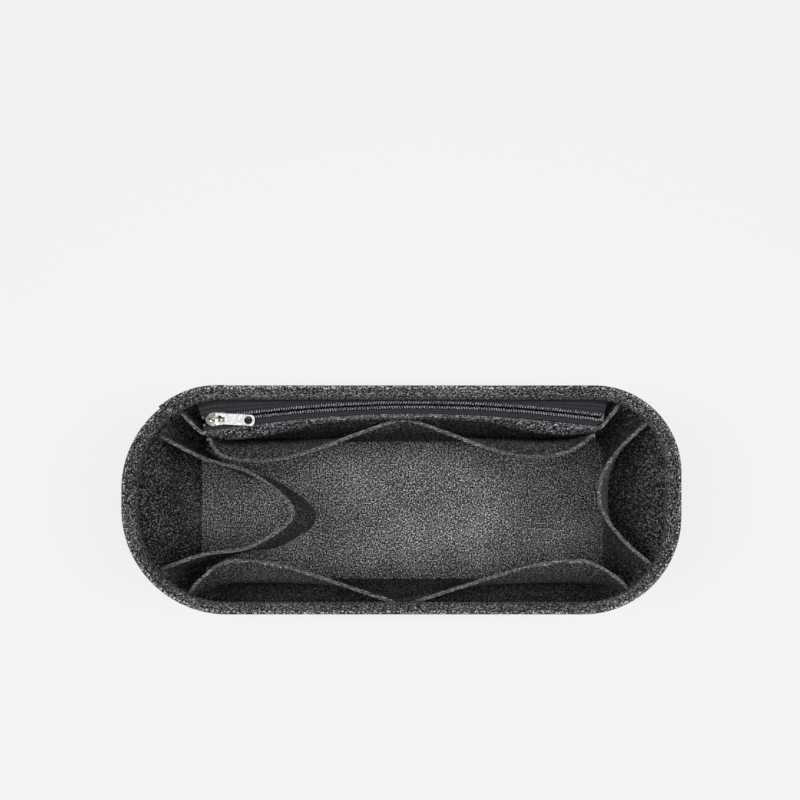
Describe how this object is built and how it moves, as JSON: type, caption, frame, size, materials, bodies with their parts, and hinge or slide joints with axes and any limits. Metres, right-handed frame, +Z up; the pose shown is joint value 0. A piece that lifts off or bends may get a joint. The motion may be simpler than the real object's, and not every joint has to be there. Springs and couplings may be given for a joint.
{
  "type": "purse organizer insert",
  "caption": "Felt purse organizer insert: a tapering open tub with a folded rim, slip pockets, an upright bottle holder and a zipped back pocket with a sliding pull.",
  "frame": {"origin": "on the floor under the middle of the base", "axes": "+X along the length towards the end slip pocket, +Y across towards the zipped back wall, +Z up"},
  "size_m": [0.2998, 0.1228, 0.15],
  "materials": {
    "felt": "heathered charcoal pressed felt",
    "tape": "woven zip tape",
    "coil": "black nylon coil",
    "metal": "nickel-plated die casting",
    "thread": "spun polyester sewing thread"
  },
  "bodies": {
    "insert": {"base_panel": "felt", "wall_strip": "felt", "zip_pocket_panel": "felt", "back_slip_pocket": "felt", "front_slip_pocket": "felt", "end_slip_pocket": "felt", "bottle_holder": "felt", "zip_tape_back": "tape", "zip_tape_front": "tape", "zip_coil_back": "coil", "zip_coil_front": "coil", "zip_top_stop_back": "metal", "zip_top_stop_front": "metal", "zip_bottom_stop": "metal", "hem_seam_thread": "thread", "base_seam_thread": "thread", "lap_seam_thread": "thread", "back_pocket_centre_thread": "thread", "back_pocket_left_thread": "thread", "back_pocket_right_thread": "thread", "front_pocket_centre_thread": "thread", "front_pocket_left_thread": "thread", "front_pocket_right_thread": "thread", "end_pocket_front_thread": "thread", "end_pocket_back_thread": "thread", "holder_back_thread": "thread", "holder_front_thread": "thread", "zip_panel_left_thread": "thread", "zip_panel_right_thread": "thread", "zip_panel_top_thread": "thread"},
    "zip_slider": {"zip_slider_body": "metal"},
    "pull_tab": {"zip_pull_tab": "metal"}
  },
  "joints": [
    {"name": "zip_slider_travel", "type": "hinge", "parent": "insert", "child": "zip_slider", "pos_m": [0.008, -0.69149, 0.1295], "axis": [0, 0, -1], "range_deg": [0, 15.9]},
    {"name": "pull_tab_swing", "type": "hinge", "parent": "zip_slider", "child": "pull_tab", "pos_m": [-0.1019, 0.04536, 0.13495], "axis": [0.1483, -0.9889, 0], "range_deg": [0, 165]}
  ]
}
